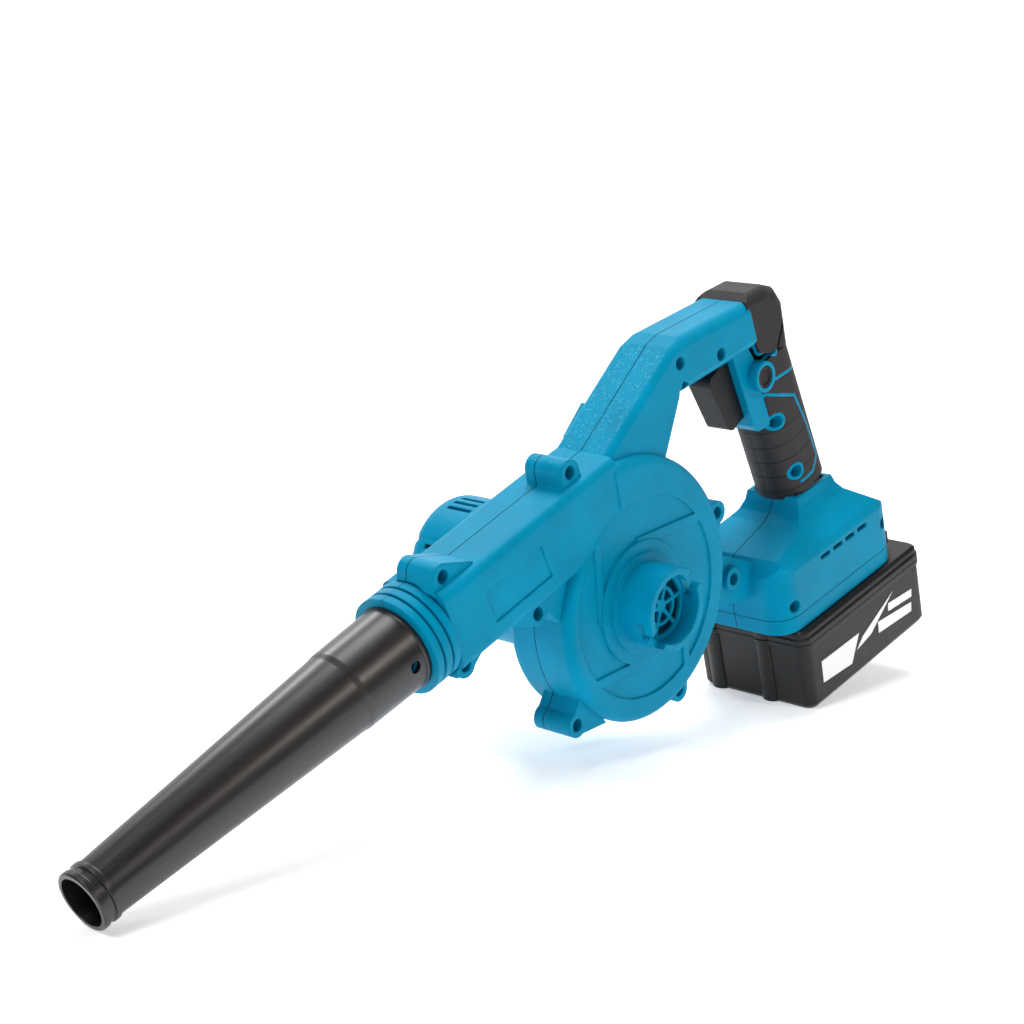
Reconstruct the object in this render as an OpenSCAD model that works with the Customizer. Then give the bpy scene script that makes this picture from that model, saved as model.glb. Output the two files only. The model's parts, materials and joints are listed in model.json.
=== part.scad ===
// Cordless hand-held leaf blower, drawn as a side elevation and stood in its resting pose.
// In the drawing X runs from the nozzle tip back to the battery, Y runs up the grip and
// Z runs towards the intake side. The seam between the two housing halves is at Z = 0 and
// the fan axis is at X = 0, Y = 0. The module stand() turns the drawing into the part's frame.

/* [Housing] */
// Thickness of the moulded housing walls
wall = 2.5; // [1.8:0.1:3.4]
// Depth of the scroll from the seam to the intake face
scroll_near = 22; // [19:0.5:28]
// Depth of the scroll from the seam to the motor side
scroll_far = 18; // [15:0.5:24]
// Radius of the first quarter of the scroll, beside the cut-off
scroll_r = 58; // [52:0.5:70]
// Growth of the scroll radius from one quarter turn to the next
scroll_step = 6.5; // [4:0.5:9]
// Rounding of the scroll's outer edges
scroll_round = 5; // [2:0.5:7]
// Radius of the recessed round panel on the intake face
panel_r = 50.5; // [40:0.5:55]
// Half width of the handle arm
arm_half = 17; // [15:0.5:20]
// Radius of the screw lugs
lug_r = 6.2; // [5:0.2:8]
// Radius of the recess that takes a screw head
screw_recess_r = 3.3; // [2.6:0.1:3.8]
// Radius of the screw shanks
screw_r = 1.6; // [1.2:0.1:2]

/* [Intake] */
// Outer radius of the intake tube
intake_r = 20.4; // [18:0.2:23]
// Bore radius of the intake tube
intake_bore_r = 17; // [15:0.2:17.6]
// Distance from the seam to the mouth of the intake tube
intake_reach = 42.6; // [36:0.5:52]
// Width of the bayonet slots
slot_w = 11; // [8:0.5:13.5]

/* [Outlet and nozzle] */
// Outer radius of the nozzle spigot
spigot_r = 17.9; // [15:0.1:19]
// Length of the nozzle spigot
spigot_len = 28; // [20:1:40]
// Radius of the three collar rings
collar_r = 24.6; // [23:0.2:28]
// Length of the nozzle from its base to its tip
nozzle_len = 184; // [140:1:260]
// Outer radius of the nozzle at its tip
nozzle_tip_r = 13.8; // [12:0.2:16]
// Wall of the nozzle
nozzle_wall = 2.3; // [1.6:0.1:2.6]
// Angle between the air outlet and the battery rails
outlet_tilt = 5.8; // [0:0.2:9]

/* [Fan and motor] */
// Radius of the fan wheel
fan_r = 49; // [40:0.5:50.5]
// Number of fan blades
fan_blades = 11; // [7:1:15]
// Radius of the motor can
motor_r = 22; // [18:0.5:24]
// Length of the motor can
motor_len = 64; // [50:1:68]
// Radius of the motor shaft
shaft_r = 2.5; // [2:0.1:3.2]
// Outer radius of the motor housing
motor_house_r = 35.5; // [32:0.5:40]
// Distance from the seam to the end of the motor cover
motor_reach = 108; // [100:1:120]

/* [Grip and foot] */
// Size of the grip from front to back
grip_depth = 37; // [32:0.5:42]
// Size of the grip from side to side
grip_width = 32; // [28:0.5:36]
// Lean of the grip
grip_lean = 12; // [6:0.5:16]
// Thickness of the soft grip sleeves
sleeve_t = 2; // [1.2:0.1:2.6]
// Half width of the foot
foot_half = 33; // [31:0.5:36]
// Travel of the trigger
trigger_travel = 6; // [4:0.5:7]

/* [Battery] */
// Length of the battery along its rails
pack_len = 115; // [105:1:130]
// Width of the battery
pack_w = 75; // [74:0.5:84]
// Height of the battery below the foot
pack_h = 46.5; // [45:0.5:60]
// Radius of the battery cells
cell_r = 9.1; // [8.5:0.1:9.2]
// Length of the battery cells
cell_len = 65; // [60:0.5:66]

/* [Hidden] */
$fn = 96;

// clearances
fit = 0.1;        // running and slip fits
gap = 0.3;        // between faces of different pieces

// side elevation, [x, y]
outlet = [-139, 42.4];                    // middle of the nozzle's base
volute = [2.6, -4];                       // centre of the first quarter of the scroll
panel_at = [3.5, 1];                      // centre of the round panel
guard_top = intake_reach - 9.3;           // front of the guard inside the intake tube
guard_lip = 0.6;                          // depth of the groove that holds the guard
duct_up = spigot_r + 3.5;
duct_down = spigot_r + 0.9;
duct_near = spigot_r + 3.5;
duct_far = spigot_r - 0.5;
collar_depth = 16.5;                      // three rings and their grooves
duct_len = 123;
lug_near = 16.6;                          // reach of the lugs to each side of the seam
lug_far = 6;
head_seat = 6;                            // underside of the screw heads
head_h = 2.4;
screw_tip = -4;
grip_foot = [153.5, -6];                  // middle of the grip's lower end
grip_len = 84;
foot_front = 92;
foot_rear = 198;
foot_base = -66.5;
foot_floor = 3;                           // thickness of the rails under the foot
pack_front = 99;
pack_top = foot_base - gap;
pack_bottom = pack_top - pack_h;
pack_chamfer = 2.5;
panel_sink = 0.7;                         // depth of the shallow panel on the duct
pack_rear = pack_front + pack_len;
case_step = 0.8;                          // the walls stand back from the rim by this much
rib_r = 7;                                // ribs of the case: radius, height over the wall, places
rib_out = 2.2;
rib_z = [-0.33 * pack_w, 0.12 * pack_w];
rim_chamfer = 0.6;                        // chamfer of the nozzle's rim
case_top = pack_top - 7.5;                // joint of the battery's case and cover
rail_half = 24;                           // half width of the battery's platform
rail_grip = 3;                            // how far the rails reach under it
platform = [119, pack_rear - 11];         // front and back of the platform
platform_top = foot_base + 10;
motor_face = -scroll_far;                 // drawing z of the motor's front face
motor_end = motor_face - motor_len;
tube_end = -76;                           // joint of the motor housing and its cover
cover_r = motor_house_r - 1.2;
cover_bolts = motor_house_r - 4.4;        // radius of the circle of cover screws
trigger_at = [102.8, 61];
trigger_half = 7;
plunger_tip = 21;                         // reach of the plunger behind the trigger
lock_at = [123.2, 67.4];
boss_top = arm_half + 1;
throat_half = arm_half - 5;
lug_screws = [[-118, 70.3], [-115.8, 24.9], [-28.3, 80.7], [-65.6, 25.5],
    [-54.4, -40.8], [20.8, -61.8], [70.9, 14.3], [75.9, -25.8]];
post_screws = [[60.1, 99.9], [91.8, 92.1], [102.5, -52], [188, -43]];
grip_screws = [[132, 38.2], [141.5, 6]];
all_screws = concat(lug_screws, post_screws, grip_screws);
post_r = 5;
accents = [[[121, 50], [127, 55.5], [147, 47.5], [154.5, 28], [160, 8], [154, 0.5], [144, -1]],
    [[121, 80], [136, 74.5], [147, 92]], [[128, 62], [160, 62]]];

// resting pose: the nozzle's rim and the battery's front edge both touch the ground
function turned(v, a) = [v.x * cos(a) - v.y * sin(a), v.x * sin(a) + v.y * cos(a)];
tip = outlet - nozzle_len * turned([1, 0], outlet_tilt);
tip_low = tip + nozzle_tip_r * turned([0, -1], outlet_tilt);
pack_low = [pack_front + pack_chamfer, pack_bottom];
pitch = atan2(tip_low.y - pack_low.y, pack_low.x - tip_low.x);
lift = -turned(pack_low, pitch).y;

// the origin is on the ground, under the middle of the whole blower
slope = outlet_tilt + pitch;
front_end = turned(outlet, pitch).x - nozzle_len * cos(slope) - (nozzle_tip_r - rim_chamfer) * sin(slope);
rear_end = turned([pack_rear - case_step, pack_bottom + pack_chamfer], pitch).x;
origin = [(front_end + rear_end) / 2, (motor_reach - intake_reach) / 2];

// turns the drawing into the part's frame
module stand() {
    translate([-origin.x, -origin.y, lift]) rotate([0, -pitch, 0]) rotate([90, 0, 0]) children();
}

// frame of the air outlet: z points out of the nozzle, y up, x to the intake side
module at_outlet() {
    translate(outlet) rotate([0, 0, outlet_tilt]) rotate([0, -90, 0]) children();
}

// frame of the grip: z points up along the grip, x to the back
module at_grip() {
    translate(grip_foot) rotate([0, 0, grip_lean]) rotate([-90, 0, 0]) children();
}

// frame of the trigger: x is the direction of the pull, y runs up the trigger
module at_trigger() {
    translate(trigger_at) rotate([0, 0, 20]) children();
}

module near_half() {
    intersection() {
        children();
        translate([-400, -300, 0]) cube([800, 600, 200]);
    }
}

module far_half() {
    intersection() {
        children();
        translate([-400, -300, -200]) cube([800, 600, 200]);
    }
}

// plate between two heights along z
module slab(z0, z1) {
    translate([0, 0, z0]) linear_extrude(z1 - z0) children();
}

module disc(r, z0, z1, at = [0, 0]) {
    translate([at.x, at.y, z0]) cylinder(r = r, h = z1 - z0);
}

module ring(r1, r2, z0, z1, at = [0, 0]) {
    difference() {
        disc(r2, z0, z1, at);
        disc(r1, z0 - 1, z1 + 1, at);
    }
}

// rectangle with round corners
module round_box(x0, x1, y0, y1, r) {
    translate([x0 + r, y0]) square([x1 - x0 - 2 * r, y1 - y0]);
    translate([x0, y0 + r]) square([x1 - x0, y1 - y0 - 2 * r]);
    for (x = [x0 + r, x1 - r], y = [y0 + r, y1 - r]) translate([x, y]) circle(r);
}

// line of a given half width with square bends
module stroke(points, half) {
    for (i = [1 : len(points) - 1]) {
        d = points[i] - points[i - 1];
        translate(points[i - 1]) rotate(atan2(d.y, d.x)) translate([-half * 0.6, -half])
            square([norm(d) + 1.2 * half, 2 * half]);
    }
}

// insulated lead: a tube of eight sides swept along its route
module lead(route, r) {
    sides = 8;
    n = len(route);
    function unit(v) = v / norm(v);
    function way(i) = unit((i < n - 1 ? unit(route[i + 1] - route[i]) : [0, 0, 0])
        + (i > 0 ? unit(route[i] - route[i - 1]) : [0, 0, 0]));
    function across(i) = unit(cross(way(i), [0.31, 0.17, 0.94]));
    points = [for (i = [0 : n - 1], j = [0 : sides - 1]) let (a = 360 * j / sides, u = across(i))
        route[i] + r * (cos(a) * u + sin(a) * cross(way(i), u))];
    walls = [for (i = [0 : n - 2], j = [0 : sides - 1]) let (k = (j + 1) % sides)
        [i * sides + j, (i + 1) * sides + j, (i + 1) * sides + k, i * sides + k]];
    ends = [[for (j = [0 : sides - 1]) j], [for (j = [sides - 1 : -1 : 0]) (n - 1) * sides + j]];
    polyhedron(points, concat(walls, ends), convexity = 10);
}

// rounds the two edges along p to q of a plate that reaches from z = -back to z = front;
// the plate lies to the left of the line, and the rounding meets its faces in a soft crease
module soften_edge(p, q, front, back, r) {
    long = norm(q - p);
    deep = 1.5 * r;
    bow = norm([deep, deep - r]);
    translate(p) rotate([0, 0, atan2(q.y - p.y, q.x - p.x)])
        for (side = [0, 1]) mirror([0, 0, side]) {
            z = side == 0 ? front : back;
            difference() {
                translate([-r, -1, z - deep]) cube([long + 2 * r, deep + 1, deep + 1]);
                translate([-2 * r, deep, z - deep]) rotate([0, 90, 0]) cylinder(r = bow, h = long + 4 * r);
            }
        }
}

// coil of round wire along z
module coil(r, wire_r, length, turns) {
    sides = 6;
    steps = turns * 14;
    function point(i, j) = let (a = 360 * turns * i / steps, b = 360 * j / sides)
        [(r + wire_r * cos(b)) * cos(a), (r + wire_r * cos(b)) * sin(a),
            wire_r + (length - 2 * wire_r) * i / steps + wire_r * sin(b)];
    points = [for (i = [0 : steps], j = [0 : sides - 1]) point(i, j)];
    walls = [for (i = [0 : steps - 1], j = [0 : sides - 1]) let (k = (j + 1) % sides)
        [i * sides + j, (i + 1) * sides + j, (i + 1) * sides + k, i * sides + k]];
    ends = [[for (j = [0 : sides - 1]) j], [for (j = [sides - 1 : -1 : 0]) steps * sides + j]];
    polyhedron(points, concat(walls, ends), convexity = 10);
}

// ---- scroll and duct ----

// one quarter of the scroll: a turned section with rounded rims
module scroll_quarter(centre, r, start, inset) {
    rim = max(scroll_round - inset, 1);
    translate(centre) rotate([0, 0, start]) rotate_extrude(angle = 90) intersection() {
        round_box(-r, r - inset, -scroll_far + inset, scroll_near - inset, rim);
        translate([0, -100]) square([200, 200]);
    }
}

module scroll_solid(inset) {
    s = scroll_step;
    scroll_quarter(volute, scroll_r, 90, inset);
    scroll_quarter(volute, scroll_r, 180, inset);
    scroll_quarter(volute + [0, s], scroll_r + s, 270, inset);
    scroll_quarter(volute + [-s, s], scroll_r + 2 * s, 0, inset);
    slab(-scroll_far + inset, scroll_near - inset) translate(volute + [-s - 1, -1]) square([s + 2, s + 2]);
}

// square duct that runs from the outlet back into the scroll
module duct_solid(inset, from) {
    at_outlet() slab(-duct_len - collar_depth, -from) round_box(
        -duct_far + inset, duct_near - inset, -duct_down + inset, duct_up - inset, 4.5 - inset / 2);
}

// shallow panel sunk in the near side of the duct
module duct_panel() {
    at_outlet() translate([duct_near - panel_sink, 0, 0]) rotate([0, 90, 0])
        linear_extrude(2) polygon([[41, 8.5], [80, 8.5], [82, -9], [42, -9]]);
}

module air_path() {
    scroll_solid(wall);
    duct_solid(wall, collar_depth + wall);
    at_outlet() disc(spigot_r - 2.4, -collar_depth - wall - 1, spigot_len + 1);
}

// webs that tie the lugs to the scroll, the duct and the foot
module lug_webs() {
    slab(-lug_far, lug_near) {
        polygon([[-122.5, 58], [-126.5, 66], [-121.5, 75.5], [-114.5, 75.5], [-99, 69], [-99, 58]]);
        polygon([[-120.5, 36], [-122.5, 21.5], [-114, 19.7], [-98, 30], [-98, 40]]);
        polygon([[-34.5, 66], [-34.5, 81], [-22.1, 81], [-20, 66]]);
        polygon([[-93, 32], [-69, 20.3], [-59.6, 24], [-50, 10], [-40, 30], [-60, 40]]);
        polygon([[-60.6, -40], [-52, -46.6], [-35, -50], [-46, -25]]);
        polygon([[14.8, -63], [27, -62], [34, -48], [10, -50]]);
        polygon([[60, 20], [72, 20.4], [77, 13], [66, 2]]);
    }
    slab(-13, 13) polygon([[60, -4], [72.5, -11], [97, -27], [97, -46], [54, -36]]);
}

module screw_lugs() {
    for (p = lug_screws) disc(lug_r, -lug_far, lug_near, p);
}

// raised bars that run past the hub ring like a pinwheel
module panel_bars() {
    for (turn = [0 : 90 : 270]) rotate([0, 0, turn - 9]) translate([-2, intake_r + 8]) square([56, 4.5]);
}

module intake_face() {
    difference() {
        disc(panel_r, scroll_near - 1, scroll_near + 1, panel_at);
        disc(intake_r + 10.6, 0, scroll_near + 2);
        slab(scroll_near - 2, scroll_near + 2) panel_bars();
    }
}

module intake_tube() {
    ring(intake_bore_r, intake_r + 10.6, scroll_near - 1.5, scroll_near + 0.6);
    ring(intake_bore_r, intake_r + 4.8, scroll_near - 1.5, scroll_near + 2.2);
    ring(intake_bore_r, intake_r, scroll_near - 1.5, intake_reach);
}

module bayonet_slots() {
    for (turn = [30, 210]) rotate([0, 0, turn]) {
        translate([intake_bore_r - 3, -slot_w / 2, intake_reach - 5]) cube([9, slot_w, 12]);
        translate([intake_bore_r - 3, -slot_w / 2, intake_reach - 8.6]) cube([9, slot_w * 0.4, 6]);
        translate([intake_bore_r - 3, -slot_w / 2 - 5, intake_reach - 8.6]) cube([9, 7, 3.6]);
    }
}

// ---- handle ----

arm_line = [[-14, 62], [-9, 73.5], [57, 109], [66, 111], [119, 109], [122, 84],
    [61, 84], [43, 58], [20, 50]];
function cap_line(t) = [[119 - t, 109 - t], [124 - t / 2, 112 - t], [138 - t / 2, 111.5 - t],
    [147 - t, 107 - t], [152 - t, 98 - t / 2],
    [152 - t, 76], [124.5, 78], [117.5, 95], [114.8, 101]];

module arm_solid() {
    h = arm_half;
    difference() {
        slab(-h, h) polygon(arm_line);
        soften_edge([57, 109], [-9, 73.5], h, h, 3);
        soften_edge([66, 111], [57, 109], h, h, 4);
        soften_edge([119, 109], [66, 111], h, h, 5);
        soften_edge([43, 58], [61, 84], h, h, 5);
        soften_edge([61, 84], [122, 84], h, h, 4.5);
    }
}

module cap_solid(inset) {
    h = arm_half - 0.5 - inset;
    difference() {
        slab(-h, h) polygon(cap_line(inset));
        top = cap_line(inset);
        soften_edge(top[2], top[1], h, h, 5.5);
        soften_edge(top[3], top[2], h, h, 6.3);
        soften_edge(top[4], top[3], h, h, 7);
        soften_edge([152 - inset, 76], top[4], h, h, 7.7);
    }
}

module throat_solid(inset) {
    slab(-throat_half + inset, throat_half - inset)
        polygon([[105 + inset, 90], [115.2 + inset, 42 + inset], [119, 38 + inset], [150, 38 + inset], [140, 90]]);
}

module grip_column(inset) {
    at_grip() slab(0, grip_len) round_box(-grip_depth / 2 + inset, grip_depth / 2 - inset,
        -grip_width / 2 + inset, grip_width / 2 - inset, 14 - inset);
}

module grip_accents(half) {
    for (line = accents) stroke(line, half);
}

module grip_posts(r) {
    for (p = grip_screws) disc(r, -40, 40, p);
}

module handle_cavity() {
    t = 2.2 * wall;
    slab(-arm_half + wall, arm_half - wall) polygon([[24, 84 - t], [12, 84 - t], [59, 109 - t], [66, 111 - t],
        [120, 109 - t], [120, 84 + wall + 1], [59, 84 + wall + 1], [42, 66]]);
    cap_cavity = sleeve_t + wall;
    slab(-arm_half + 0.5 + cap_cavity, arm_half - 0.5 - cap_cavity)
        polygon([[116, 102], [136, 101.5], [145, 97.5], [146.5, 92], [145.5, 70], [126, 70], [116, 92]]);
    throat_solid(wall);
    at_grip() slab(-20, grip_len - 4) round_box(-grip_depth / 2 + sleeve_t + wall, grip_depth / 2 - sleeve_t - wall,
        -grip_width / 2 + sleeve_t + wall, grip_width / 2 - sleeve_t - wall, 9);
}

// ---- foot ----

function foot_line(t) = [[foot_front + t, foot_base + t], [foot_rear - t, foot_base + t], [foot_rear - t, -43 - t / 2],
    [191 - t / 2, -32 - t], [179 - t, -22 - t], [173.5 - t, -17.5 - t], [170.5 - t, -13 - t / 2], [169 - t, -8],
    [137 + t, -8], [135.7 + t, -13 - t / 2], [132.5 + t, -17.2 - t], [127, -20.3 - t], [112, -23.2 - t],
    [99 + t, -25.5 - t], [foot_front + t, -33 - t / 2]];

// side, plan and end outlines cut from one another
module foot_solid(inset) {
    half = foot_half - inset;
    neck = foot_half - grip_width / 2;
    shoulder = [[0, -33], [1.6, -29], [5, -25.5], [neck - 8, -21.6], [neck - 4, -18], [neck - 1.4, -13],
        [neck, -7]];
    intersection() {
        slab(-half, half) polygon(foot_line(inset));
        rotate([-90, 0, 0]) slab(-90, 10) round_box(foot_front + inset, foot_rear - inset, -half, half, 14);
        rotate([0, 90, 0]) slab(60, 220) polygon([[-half, -90], [half, -90], for (p = shoulder) [half - p.x, p.y],
            for (i = [len(shoulder) - 1 : -1 : 0]) [shoulder[i].x - half, shoulder[i].y]]);
    }
}

module rail_channel() {
    neck = rail_half - rail_grip + gap;
    slab(-neck, neck) translate([platform[0] - gap, foot_base - 1]) square([120, foot_floor + 2]);
    slab(-rail_half - gap, rail_half + gap) translate([platform[0] - gap, foot_base + foot_floor])
        square([120, platform_top - foot_base - foot_floor + gap]);
}

module side_vents() {
    for (i = [0 : 3], side = [0, 1]) mirror([0, 0, side])
        translate([129 + 11.5 * i, -37.5, foot_half - wall - 2]) cube([8.5, 2.4, wall + 4]);
}

// ---- motor housing ----

module motor_house(inset) {
    disc(motor_house_r - inset, tube_end, -scroll_far + 2);
}

// covered way for the wires, from the arm down to the motor
module wire_way(inset) {
    slab(-scroll_far - 7 + inset, -scroll_far + (inset > 0 ? -0.5 : 3))
        polygon([[14 + inset, 20], [31 - inset, 20], [31 - inset, 86 - 1.5 * inset], [14 + inset, 75 - inset / 2]]);
    if (inset > 0) slab(-scroll_far - 2, -12) translate([23, 74.5]) square([8 - inset, 6.5]);
}

// ---- both housing halves as one moulding, before it is split along the seam ----

module housing_shell() {
    difference() {
        union() {
            difference() {
                union() {
                    arm_solid();
                    cap_solid(sleeve_t);
                    throat_solid(0);
                    grip_column(sleeve_t);
                    foot_solid(0);
                }
                handle_cavity();
                difference() {
                    foot_solid(wall);
                    slab(-60, 60) translate([foot_front, foot_base]) square([120, foot_floor]);
                }
                at_grip() slab(-16, 6) round_box(-11, 11, -9, 9, 4);
                rail_channel();
                side_vents();
            }
            intersection() {
                difference() {
                    grip_column(0);
                    grip_column(sleeve_t);
                }
                slab(-40, 40) grip_accents(0.9);
            }
            intersection() {
                grip_column(0);
                grip_posts(post_r);
            }
            intersection() {
                foot_solid(0);
                for (p = post_screws) disc(post_r, -60, 60, p);
            }
            intersection() {
                arm_solid();
                for (p = post_screws) disc(post_r, -60, 60, p);
            }
            ring(5.9, 8.1, throat_half - 1, boss_top, lock_at);
            scroll_solid(0);
            duct_solid(0, collar_depth);
            at_outlet() disc(spigot_r, -collar_depth - 1, spigot_len);
            lug_webs();
            screw_lugs();
            intake_tube();
            motor_house(0);
            wire_way(0);
        }
        air_path();
        at_outlet() ring(spigot_r, collar_r + gap, -collar_depth, 1);
        intake_face();
        duct_panel();
        at_outlet() rotate([0, 90, 0]) translate([-8.5, 0, 0]) cylinder(r = 2.9, h = 40);
        disc(intake_bore_r - guard_lip, 0, intake_reach);
        disc(intake_bore_r, guard_top, intake_reach + 1);
        disc(intake_bore_r + guard_lip, guard_top - 2.4, guard_top);
        bayonet_slots();
        wire_way(wall);
        motor_chamber();
        housing_holes();
    }
}

// space behind the scroll that holds the motor, and the openings that its shaft and screws pass
module motor_chamber() {
    disc(motor_house_r - wall, tube_end - 1, -scroll_far);
    disc(shaft_r + 5, -scroll_far - 1, 0);
    for (a = [0, 180]) disc(1.8, -scroll_far - 1, 0, 14.5 * [cos(a), sin(a)]);
    for (a = [45 : 90 : 315]) disc(1.3, tube_end - 1, tube_end + 12, cover_bolts * [cos(a), sin(a)]);
}

module housing_holes() {
    for (p = all_screws) {
        disc(screw_recess_r, head_seat, 60, p);
        disc(screw_r + 0.2, -0.01, head_seat + 1, p);
        disc(screw_r + 0.05, -5, 0.01, p);
    }
    disc(5.9, throat_half - 0.01, boss_top + 1, lock_at);
    disc(2.6, 0, boss_top, lock_at);
    at_trigger() slab(-trigger_half - gap, trigger_half + gap) translate([-10, -17 - gap])
        square([36, 36 + 2 * gap]);
    slab(-1.5, 1.5) translate([88, 99]) square([8, 1]);
}

module housing_near() {
    color([0.0, 0.55, 0.7]) stand() near_half() housing_shell();
}

module housing_far() {
    color([0.0, 0.5, 0.66]) stand() far_half() housing_shell();
}

module motor_cover() {
    round_r = 9;
    color([0.0, 0.52, 0.68]) stand() difference() {
        union() {
            mirror([0, 0, 1]) rotate_extrude() intersection() {
                round_box(-cover_r, cover_r, tube_end * -1 - 30, motor_reach, round_r);
                translate([0, -tube_end]) square([100, 100]);
            }
            for (a = [45 : 90 : 315]) disc(3.2, tube_end - 8, tube_end, cover_bolts * [cos(a), sin(a)]);
        }
        mirror([0, 0, 1]) rotate_extrude() intersection() {
            round_box(wall - cover_r, cover_r - wall, 30, motor_reach - wall, round_r - wall);
            translate([0, -tube_end - 1]) square([100, 100]);
        }
        for (bank = [0 : 60 : 300], i = [-1 : 1]) rotate([0, 0, bank + 30 + 9 * i])
            translate([cover_r - 6, -1.2, tube_end - 20]) cube([12, 2.4, 16]);
        for (r = [9, 16], a = [0 : 60 : 300]) rotate([0, 0, a]) translate([r, -1.2, -motor_reach - 2])
            cube([5, 2.4, 8]);
        for (a = [45 : 90 : 315]) {
            disc(1.6, -motor_reach, tube_end + 1, cover_bolts * [cos(a), sin(a)]);
            disc(2.8, -motor_reach - 1, tube_end - 6, cover_bolts * [cos(a), sin(a)]);
        }
    }
}

module outlet_collar() {
    pitch_z = collar_depth / 3;
    color([0.0, 0.52, 0.68]) stand() at_outlet() difference() {
        union() {
            disc(collar_r - 2.6, -collar_depth + gap, -gap);
            for (i = [0 : 2]) ring(spigot_r + 1, collar_r, -pitch_z * i - 4.4, -pitch_z * i - gap);
        }
        disc(spigot_r + fit, -collar_depth - 1, 1);
    }
}

module intake_guard() {
    z = guard_top - 0.2;
    color([0.0, 0.4, 0.52]) stand() {
        ring(intake_bore_r - 2.4, intake_bore_r + guard_lip - 0.02, z - 2, z + 0.18);
        ring(8.4, 10, z - 2, z);
        disc(3.4, z - 2, z);
        for (a = [0 : 60 : 300]) rotate([0, 0, a]) translate([3, -0.9, z - 2])
            cube([intake_bore_r - 5, 1.8, 2]);
    }
}

module nozzle() {
    r = nozzle_tip_r;
    w = nozzle_wall;
    base = spigot_r + fit + w + 0.3;
    l = nozzle_len;
    color([0.09, 0.085, 0.09]) stand() at_outlet() difference() {
        rotate_extrude() polygon([[spigot_r + fit, 0], [base + 0.4, 0], [base + 0.4, 1.6], [base, 2.2],
            [base - 0.6, 36], [base - 1.1, 39], [r - 0.7, l - 9], [r + 0.1, l - 8.6], [r + 0.1, l - 6.4],
            [r - 0.9, l - 6], [r - 0.9, l - 3.4], [r, l - 3], [r, l - rim_chamfer], [r - rim_chamfer, l], [r - w, l],
            [r - w - 0.4, l - 10], [spigot_r - w, spigot_len + 5], [spigot_r - w, spigot_len + 1],
            [spigot_r + fit, spigot_len + 1]]);
        translate([0, 0, 8.5]) rotate([0, 90, 0]) cylinder(r = 2.9, h = 40);
    }
}

module grip_sleeve() {
    difference() {
        intersection() {
            grip_column(0);
            slab(-40, 40) polygon([[110, 30], [121, 43], [119, 52], [122, 57], [128, 67.4], [127, 74],
                [160, 78], [190, 60], [190, -30], [120, -30]]);
        }
        grip_column(sleeve_t);
        throat_solid(0);
        cap_solid(0);
        slab(-40, 40) grip_accents(0.9 + 0.02);
        grip_posts(post_r + 0.02);
        disc(8.2, 0, 40, lock_at);
    }
}

module grip_near() {
    color([0.13, 0.12, 0.13]) stand() near_half() grip_sleeve();
}

module grip_far() {
    color([0.13, 0.12, 0.13]) stand() far_half() grip_sleeve();
}

module handle_cap() {
    color([0.12, 0.11, 0.12]) stand() difference() {
        cap_solid(0);
        cap_solid(sleeve_t);
        arm_solid();
        throat_solid(0);
        grip_column(sleeve_t);
        slab(-40, 40) grip_accents(0.9 + 0.02);
        slab(-40, 40) polygon([[100, 110], [114.8, 101], [117.5, 95], [124.5, 77], [100, 60]]);
        disc(8.2, 0, 40, lock_at);
    }
}

// ---- screws ----

module screw(z, direction, length) {
    translate([0, 0, z]) mirror([0, 0, direction < 0 ? 1 : 0]) difference() {
        union() {
            disc(screw_recess_r - gap, 0, head_h);
            disc(screw_r, -length, 0);
        }
        for (a = [0, 90]) rotate([0, 0, a]) translate([-1.6, -0.4, head_h - 1.2]) cube([3.2, 0.8, 2]);
    }
}

module housing_screws() {
    color([0.2, 0.2, 0.22]) stand() for (p = all_screws) translate(p) screw(head_seat, 1, head_seat - screw_tip);
}

module cover_screws() {
    color([0.2, 0.2, 0.22]) stand() for (a = [45 : 90 : 315])
        translate(cover_bolts * [cos(a), sin(a)]) mirror([0, 0, 1]) {
            disc(2.5, -tube_end + 6, -tube_end + 8);
            disc(1.25, -tube_end - 9, -tube_end + 6);
        }
}

module motor_screws() {
    color([0.5, 0.5, 0.52]) stand() for (a = [0, 180]) translate(14.5 * [cos(a), sin(a)]) {
        disc(2.6, wall - scroll_far, wall - scroll_far + 2);
        disc(1.5, -scroll_far - 3, wall - scroll_far);
    }
}

// ---- rotating parts ----

module impeller() {
    back = wall - scroll_far + 3.6;
    front = scroll_near - wall - 4;
    color([0.16, 0.16, 0.17]) stand() difference() {
        union() {
            disc(fan_r, back, back + 1.6);
            ring(intake_bore_r + 4, fan_r, front - 1.6, front);
            disc(9, back, 2);
            intersection() {
                ring(intake_bore_r + 2, fan_r - 0.5, back, front);
                for (i = [0 : fan_blades - 1]) rotate([0, 0, 360 / fan_blades * i]) translate([34, 24, back])
                    rotate([0, 0, 180]) rotate_extrude(angle = 150) translate([24, 0]) square([1.6, front - back]);
            }
        }
        disc(shaft_r + 0.02, -30, 30);
    }
}

module fan_nut() {
    color([0.6, 0.6, 0.62]) stand() difference() {
        union() {
            disc(6.5, 2, 3);
            slab(3, 7) circle(r = 4.6, $fn = 6);
        }
        disc(shaft_r + 0.02, 0, 20);
    }
}

module motor_shaft() {
    color([0.7, 0.7, 0.72]) stand() disc(shaft_r, motor_end - 3, 9);
}

module armature() {
    color([0.45, 0.45, 0.47]) stand() difference() {
        disc(motor_r - 6.6, motor_end + 22, motor_face - 12);
        disc(shaft_r + 0.02, -200, 0);
        for (a = [0 : 36 : 324]) rotate([0, 0, a]) translate([motor_r - 12, -1.6, -120]) cube([9, 3.2, 110]);
    }
}

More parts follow.
